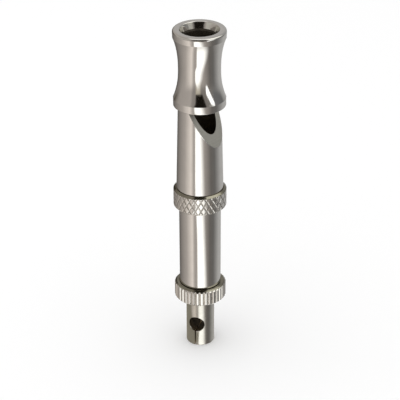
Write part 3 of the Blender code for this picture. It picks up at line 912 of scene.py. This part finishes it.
def make_tuning_screw():
    """A threaded rod with a stop and a riveted head above the thread, and a tenon in the stem."""
    thread_low = STEM_HIGH + SEAT_PLAY
    stop = BUSH_HIGH + TUNING_TRAVEL + RUNNING_PLAY
    rod_top = PLUNGER_LOW - RUNNING_PLAY
    head_low = SCREW_HIGH - HEAD_HEIGHT
    top = [
        (0, SCREW_HIGH, 0),
        (HEAD, SCREW_HIGH, HEAD_EDGE),
        (HEAD, head_low, FINE_EDGE),
        (NECK, head_low, 0),
        (NECK, rod_top, 0),
        (ROD, rod_top, ROD_TOP_EDGE),
        (ROD, stop, STOP_EDGE),
        (THREAD_CREST, stop, 0),
    ]
    rows = round((stop - thread_low) / PITCH * ROWS_IN_A_PITCH)
    wall = rows_between((THREAD_CREST, stop), (THREAD_CREST, thread_low), rows)
    tenon = [
        (THREAD_CREST, thread_low, 0),
        (TENON, thread_low, 0),
        (TENON, SCREW_LOW, LEAD_IN),
        (0, SCREW_LOW, 0),
    ]
    profile = eased(top, closed=False) + wall + eased(tenon, closed=False)[1:]
    piece = turned("threaded_rod", profile, closed=False, steps=THREAD_STEPS)
    sizes = {
        "Crest Radius": THREAD_CREST,
        "Starts": 1.0,
        "Grooves per Metre": -1 / PITCH,
        "Depth": THREAD_DEPTH,
        "Crest Share": 0.14,
        "Root Share": 0.2,
        "Low": thread_low + HAIR,
        "High": stop - HAIR,
        "Run Out": THREAD_RUN_OUT,
        "Finish": THREAD_BRASS,
    }
    roll(piece, sizes)
    place_piece(piece, "tuning_screw", "tuning_screw")


def make_windway_plug():
    """A plug in the bore, with a flat that leaves the windway."""
    radius = BORE - SEAT_PLAY
    corners = [
        (0, PLUG_HIGH, 0),
        (radius, PLUG_HIGH, LEAD_IN),
        (radius, PLUG_LOW, PLUG_EDGE),
        (0, PLUG_LOW, 0),
    ]
    piece = turned("windway_plug", eased(corners, closed=False), BRASS, closed=False)
    flat = BORE - WINDWAY_HEIGHT
    reach = 2 * BORE
    low = PLUG_LOW - MM
    high = PLUG_HIGH + MM
    outline = [(-flat, low), (-reach, low), (-reach, high), (-flat, high)]
    cut(piece, cutter("windway_cut", prism(outline, 2 * reach), BRASS))
    shade(piece)
    place_piece(piece, "whistle", "fipple_plug")


def make_thread_bush():
    """A bush in the lower barrel's end, which holds the screw."""
    radius = BORE - SEAT_PLAY
    bore = THREAD_CREST + RUNNING_PLAY
    corners = [
        (radius, BUSH_HIGH, FINE_EDGE),
        (radius, BUSH_LOW, FINE_EDGE),
        (bore, BUSH_LOW, LEAD_IN),
        (bore, BUSH_HIGH, LEAD_IN),
    ]
    piece = turned("thread_bushing", eased(corners), BRASS)
    place_piece(piece, "whistle", "thread_bush")


def make_plunger():
    """A piston that swivels on the screw's head, with a groove for its rubber ring."""
    radius = BORE - RUNNING_PLAY
    head_bore = HEAD + RUNNING_PLAY
    neck_bore = NECK + RUNNING_PLAY
    head_floor = PLUNGER_HIGH - HEAD_RECESS
    middle = (PLUNGER_LOW + PLUNGER_HIGH) / 2
    groove = SEAL_SECTION + SEAT_PLAY
    groove_floor = SEAL - groove
    corners = [
        (head_bore, PLUNGER_HIGH, FINE_EDGE),
        (radius, PLUNGER_HIGH, PLUNGER_EDGE),
        (radius, middle + groove, FINE_EDGE),
        (groove_floor, middle + groove, FINE_EDGE),
        (groove_floor, middle - groove, FINE_EDGE),
        (radius, middle - groove, FINE_EDGE),
        (radius, PLUNGER_LOW, PLUNGER_EDGE),
        (neck_bore, PLUNGER_LOW, FINE_EDGE),
        (neck_bore, head_floor, 0),
        (head_bore, head_floor, 0),
    ]
    piece = turned("plunger_piston", eased(corners), BRASS)
    place_piece(piece, "plunger", "plunger")


def make_plunger_seal():
    """A rubber ring with a round section."""
    middle = (PLUNGER_LOW + PLUNGER_HIGH) / 2
    turns = [-2 * pi * step / SEAL_STEPS for step in range(SEAL_STEPS)]
    section = [(SEAL + SEAL_SECTION * cos(turn), middle + SEAL_SECTION * sin(turn)) for turn in turns]
    piece = turned("plunger_ring", section, RUBBER)
    place_piece(piece, "plunger", "plunger_seal")


def make_nut_washer():
    """A thin fibre washer in the nut's recess."""
    radius = NUT_RECESS - RUNNING_PLAY
    bore = THREAD_CREST + RUNNING_PLAY
    outline = [(radius, WASHER_HIGH), (radius, WASHER_LOW), (bore, WASHER_LOW), (bore, WASHER_HIGH)]
    piece = turned("fibre_washer", eased([(*point, WASHER_EDGE) for point in outline]), FIBRE)
    place_piece(piece, "nut_washer", "nut_washer")


make_mouthpiece()
make_upper_barrel()
make_grip_collar()
make_lower_barrel()
make_lock_nut()
make_stem()
make_tuning_screw()
make_windway_plug()
make_thread_bush()
make_plunger()
make_plunger_seal()
make_nut_washer()


# Studio: floor, light tent, lamp and camera


def sheet_of_paper():
    """The pale floor under the stem's end: it goes down with the stem, and is clear from below."""
    shape = bmesh.new()
    bmesh.ops.create_grid(shape, x_segments=8, y_segments=8, size=FLOOR_REACH)
    floor = new_object("floor", shape)
    finish, graph, surface = new_finish("pale_paper")
    surface.inputs["Base Color"].default_value = (0.93, 0.93, 0.93, 1)
    surface.inputs["Roughness"].default_value = 0.9
    surface.inputs["Specular IOR Level"].default_value = 0.1
    from_below = graph.add("ShaderNodeNewGeometry").outputs["Backfacing"]
    seen = graph.add("ShaderNodeLightPath").outputs["Is Camera Ray"]
    clear = graph.add("ShaderNodeBsdfTransparent").outputs[0]
    sides = {0: graph.product(from_below, seen), 1: surface.outputs[0], 2: clear}
    paper = graph.add("ShaderNodeMixShader", sides).outputs[0]
    graph.feed(graph.tree.nodes["Material Output"].inputs["Surface"], paper)
    floor.data.materials.append(finish)
    floor.visible_glossy = False
    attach(floor, "plunger")


def glowing(name):
    """A new material without nodes, for cloth that gives light, and its graph."""
    finish = bpy.data.materials.new(name)
    finish.use_nodes = True
    finish.node_tree.nodes.clear()
    return finish, Graph(finish.node_tree)


def only_in_metal(thing, finish):
    """Gives a stage object its finish, and keeps it out of sight but for reflections."""
    thing.data.materials.append(finish)
    for name in ("camera", "diffuse", "shadow", "transmission", "volume_scatter"):
        setattr(thing, f"visible_{name}", False)


def camera_place(graph):
    """A place with X to the camera's right and Y away from it."""
    feeds = {"Vector": graph.place(), "Angle": -CAMERA_TURN}
    return graph.add("ShaderNodeVectorRotate", feeds, rotation_type="Z_AXIS").outputs[0]


def tent_wall(graph, side, tones):
    """Cloth whose brightness changes round the tent; tones are (side in degrees, brightness)."""
    ramp = graph.add("ShaderNodeValToRGB", {0: graph.span(side, -180.0, 180.0, smooth=False)})
    elements = ramp.color_ramp.elements
    for element, (angle, tone) in zip(elements, (tones[0], tones[-1])):
        element.position = angle / 360 + 0.5
        element.color = (tone, tone, tone, 1)
    for angle, tone in tones[1:-1]:
        elements.new(angle / 360 + 0.5).color = (tone, tone, tone, 1)
    return ramp.outputs[0]


def tent_cloth(graph, parts, side, height):
    """The tent's walls: dimmer higher up in front, and warm, but for a neutral piece on the right."""
    low_tones = [(-180, 0.13), (-155, 0.13), (-80, 0.47), (-44, 0.92), (-30, 0.45)]
    low_tones += [(20, 0.42), (55, 0.165), (78, 0.165), (120, 0.48), (180, 0.48)]
    high_tones = [(-180, 0.49), (-110, 0.40), (-42, 0.47), (-32, 0.31)]
    high_tones += [(25, 0.23), (85, 0.23), (130, 0.35), (180, 0.49)]
    low_wall = tent_wall(graph, side, low_tones)
    high_wall = tent_wall(graph, side, high_tones)
    plain = graph.mix(graph.span(height, -18.0, -4.0), low_wall, high_wall)
    warm = (1.0, 0.915, 0.85)
    neutral = (1.0, 0.99, 0.98)
    right_and_back = graph.math("ADD", graph.product(parts[0], 0.77), graph.product(parts[1], 0.64))
    tint = graph.mix(graph.span(right_and_back, 0.0, 0.9), warm, neutral)
    return graph.add("ShaderNodeVectorMath", {0: plain, 1: tint}, operation="MULTIPLY").outputs[0]


def bright_sheet(graph, side, height):
    """Where the bright sheet in front shows, in degrees; further up it narrows and leans to the left."""
    low_left = graph.span(height, -31.0, -25.0, -15.0, -23.0)
    left = graph.math("ADD", low_left, graph.span(height, -21.0, -7.0, 0.0, 12.0))
    right = graph.span(height, -42.0, -9.0, 31.0, -5.0)
    fade = graph.span(height, -58.0, -30.0, 32.0, 14.0)
    return graph.product(
        graph.span(graph.math("SUBTRACT", side, left), -2.5, 2.5),
        graph.span(graph.math("SUBTRACT", side, right), -12.0, fade, 1.0, 0.0),
        graph.span(height, -19.0, -3.0, 1.0, 0.0),
        graph.span(height, -66.0, -50.0, 0.45, 1.0),
    )


def share_between(graph, value, start, end):
    """How far a value has come from the start to the end."""
    return graph.math("DIVIDE", graph.math("SUBTRACT", value, start), graph.math("SUBTRACT", end, start))


def hang_cards(graph, behind, height, cards):
    """Cards with soft edges before the cloth, as (colour, across, sides, rise).

    Sides and rise say where a card fades in, is full, is still full and has faded out.
    """
    for colour, across, sides, rise in cards:
        edges = []
        for value, (start, full, still, gone) in ((across, sides), (height, rise)):
            edges += [graph.span(value, start, full), graph.span(value, still, gone, 1.0, 0.0)]
        behind = graph.mix(graph.product(*edges), behind, colour)
    return behind


def light_tent():
    """A tent of pale and dark cloth round the whistle, which only its polished metal shows."""
    shape = bmesh.new()
    bmesh.ops.create_uvsphere(shape, u_segments=96, v_segments=48, radius=TENT_RADIUS)
    bmesh.ops.reverse_faces(shape, faces=shape.faces)
    tent = new_object("light_tent", shape)
    tent.data.shade_smooth()
    tent.location.z = TENT_MIDDLE
    finish, graph = glowing("tent_cloth")
    way = graph.add("ShaderNodeVectorMath", {0: camera_place(graph)}, operation="NORMALIZE").outputs[0]
    parts = graph.parts(way)
    # degrees round to the right from the camera, and degrees up
    side = graph.product(graph.math("ARCTAN2", parts[0], graph.product(parts[1], -1.0)), 180 / pi)
    height = graph.product(graph.math("ARCSINE", parts[2]), 180 / pi)
    shown = tent_cloth(graph, parts, side, height)

    # a dim card behind on the left, a dark one on the right, and a beige one behind the bright sheet
    cards = [
        ((0.08, 0.07, 0.055), side, (-180, -164, -138, -98), (-16, -6, 10, 18)),
        ((0.165, 0.165, 0.168), side, (56, 72, 110, 124), (-11, -3, 8, 13)),
        ((0.60, 0.545, 0.45), side, (-22, -15, -2, 8), (-22, -16, -2, 2)),
    ]
    shown = hang_cards(graph, shown, height, cards)
    shown = graph.mix(bright_sheet(graph, side, height), shown, (1.6, 1.6, 1.57))

    slip_left = graph.math("ADD", graph.product(graph.math("MAXIMUM", height, -2.0), 1.4), 34.0)
    slip_right = graph.span(height, -13.0, 8.0, 39.0, 67.0, smooth=False)
    slip = share_between(graph, side, slip_left, slip_right)
    from_front = graph.math("ABSOLUTE", side)
    dark_left = graph.span(height, 12.0, 24.0, -18.0, -33.0)
    dark_right = graph.span(height, 0.0, 24.0, 14.0, 36.0, smooth=False)
    dark = share_between(graph, side, dark_left, dark_right)
    cards = [
        # a bright slip on the right, which leans, and a bright strip behind the whistle
        ((1.7, 1.72, 1.72), slip, (-0.08, 0.1, 0.85, 1.1), (-15, -11, 10, 15)),
        ((1.35, 1.35, 1.32), from_front, (167, 172, 190, 200), (-95, -91, -10, -2)),
        # pale cards on both sides of the camera, which the coned mouth shows, and dark ones behind it
        ((0.52, 0.51, 0.46), side, (38, 46, 104, 132), (12, 17, 30, 36)),
        ((0.52, 0.51, 0.46), side, (-132, -104, -46, -38), (12, 17, 30, 36)),
        ((0.010, 0.008, 0.006), dark, (-0.08, 0.08, 0.92, 1.08), (-2, 0.5, 27, 32)),
        ((0.03, 0.026, 0.018), side, (-48, -26, 18, 34), (44, 50, 66, 74)),
        # white cloth high on the right
        ((1.4, 1.38, 1.3), side, (34, 44, 108, 124), (24, 34, 66, 76)),
    ]
    shown = hang_cards(graph, shown, height, cards)
    # the pale top
    shown = graph.mix(graph.span(height, 64.0, 74.0), shown, (1.15, 1.14, 1.12))
    glow = graph.add("ShaderNodeEmission", {"Color": shown, "Strength": 1.0}).outputs[0]
    graph.add("ShaderNodeOutputMaterial", {"Surface": glow})
    only_in_metal(tent, finish)


def floor_shade_card():
    """A card of painted floor shade that lies to the left of the stem, which only the stem's polished
    foot shows.
    """
    shape = bmesh.new()
    bmesh.ops.create_circle(shape, cap_ends=True, segments=64, radius=SHADE_CARD_RADIUS)
    card = new_object("floor_shade_card", shape)
    card.location.z = SHADE_CARD_LIFT
    finish, graph = glowing("painted_floor_shade")
    # a dim glow that stands in for the floor's shade by the stem's foot, seen in its reflection
    floor_shade = (0.29, 0.268, 0.222, 1)
    right_edge = (-1.5 * MM, -0.7 * MM)
    front_edge = (-9.4 * MM, -7.4 * MM)
    front_slant = 0.27
    place = camera_place(graph)
    parts = graph.parts(place)
    from_front = graph.math("ADD", parts[1], graph.product(parts[0], front_slant))
    shown = graph.product(
        graph.span(parts[0], *right_edge, 1.0, 0.0),
        graph.span(from_front, *front_edge),
        graph.span(graph.length(place), SHADE_CARD_FULL, SHADE_CARD_RADIUS, 1.0, 0.0),
    )
    glow = graph.add("ShaderNodeEmission", {"Color": floor_shade, "Strength": 1.0}).outputs[0]
    clear = graph.add("ShaderNodeBsdfTransparent").outputs[0]
    faded = graph.add("ShaderNodeMixShader", {0: shown, 1: clear, 2: glow}).outputs[0]
    graph.add("ShaderNodeOutputMaterial", {"Surface": faded})
    only_in_metal(card, finish)
    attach(card, "plunger")


def world_and_lamp():
    world = bpy.data.worlds.new("studio")
    bpy.context.scene.world = world
    world.use_nodes = True
    sky = world.node_tree.nodes["Background"]
    sky.inputs["Color"].default_value = (1, 1, 1, 1)
    sky.inputs["Strength"].default_value = SKY_STRENGTH
    lamp = bpy.data.lights.new("soft_lamp", "AREA")
    lamp.size = LAMP_SIZE
    lamp.energy = LAMP_POWER
    holder = bpy.data.objects.new("soft_lamp", lamp)
    holder.location = LAMP_PLACE
    holder.rotation_euler = (LAMP_AIM - LAMP_PLACE).to_track_quat("-Z", "Y").to_euler()
    holder.visible_glossy = False
    bpy.context.scene.collection.objects.link(holder)


def photo_camera():
    lens = bpy.data.cameras.new("camera")
    lens.lens = CAMERA_LENS
    lens.sensor_width = CAMERA_SENSOR
    lens.clip_start = 0.01
    lens.clip_end = 20.0
    camera = bpy.data.objects.new("camera", lens)
    turn = Matrix.Rotation(CAMERA_TURN, 4, "Z")
    place = Matrix.Translation((0, -CAMERA_BACK, CAMERA_HEIGHT))
    tilt = Matrix.Rotation(CAMERA_TILT, 4, "X") @ Matrix.Rotation(CAMERA_ROLL, 4, "Z")
    camera.matrix_world = turn @ place @ tilt
    bpy.context.scene.collection.objects.link(camera)
    bpy.context.scene.camera = camera


sheet_of_paper()
light_tent()
floor_shade_card()
world_and_lamp()
photo_camera()
bpy.context.scene.view_settings.view_transform = "Standard"
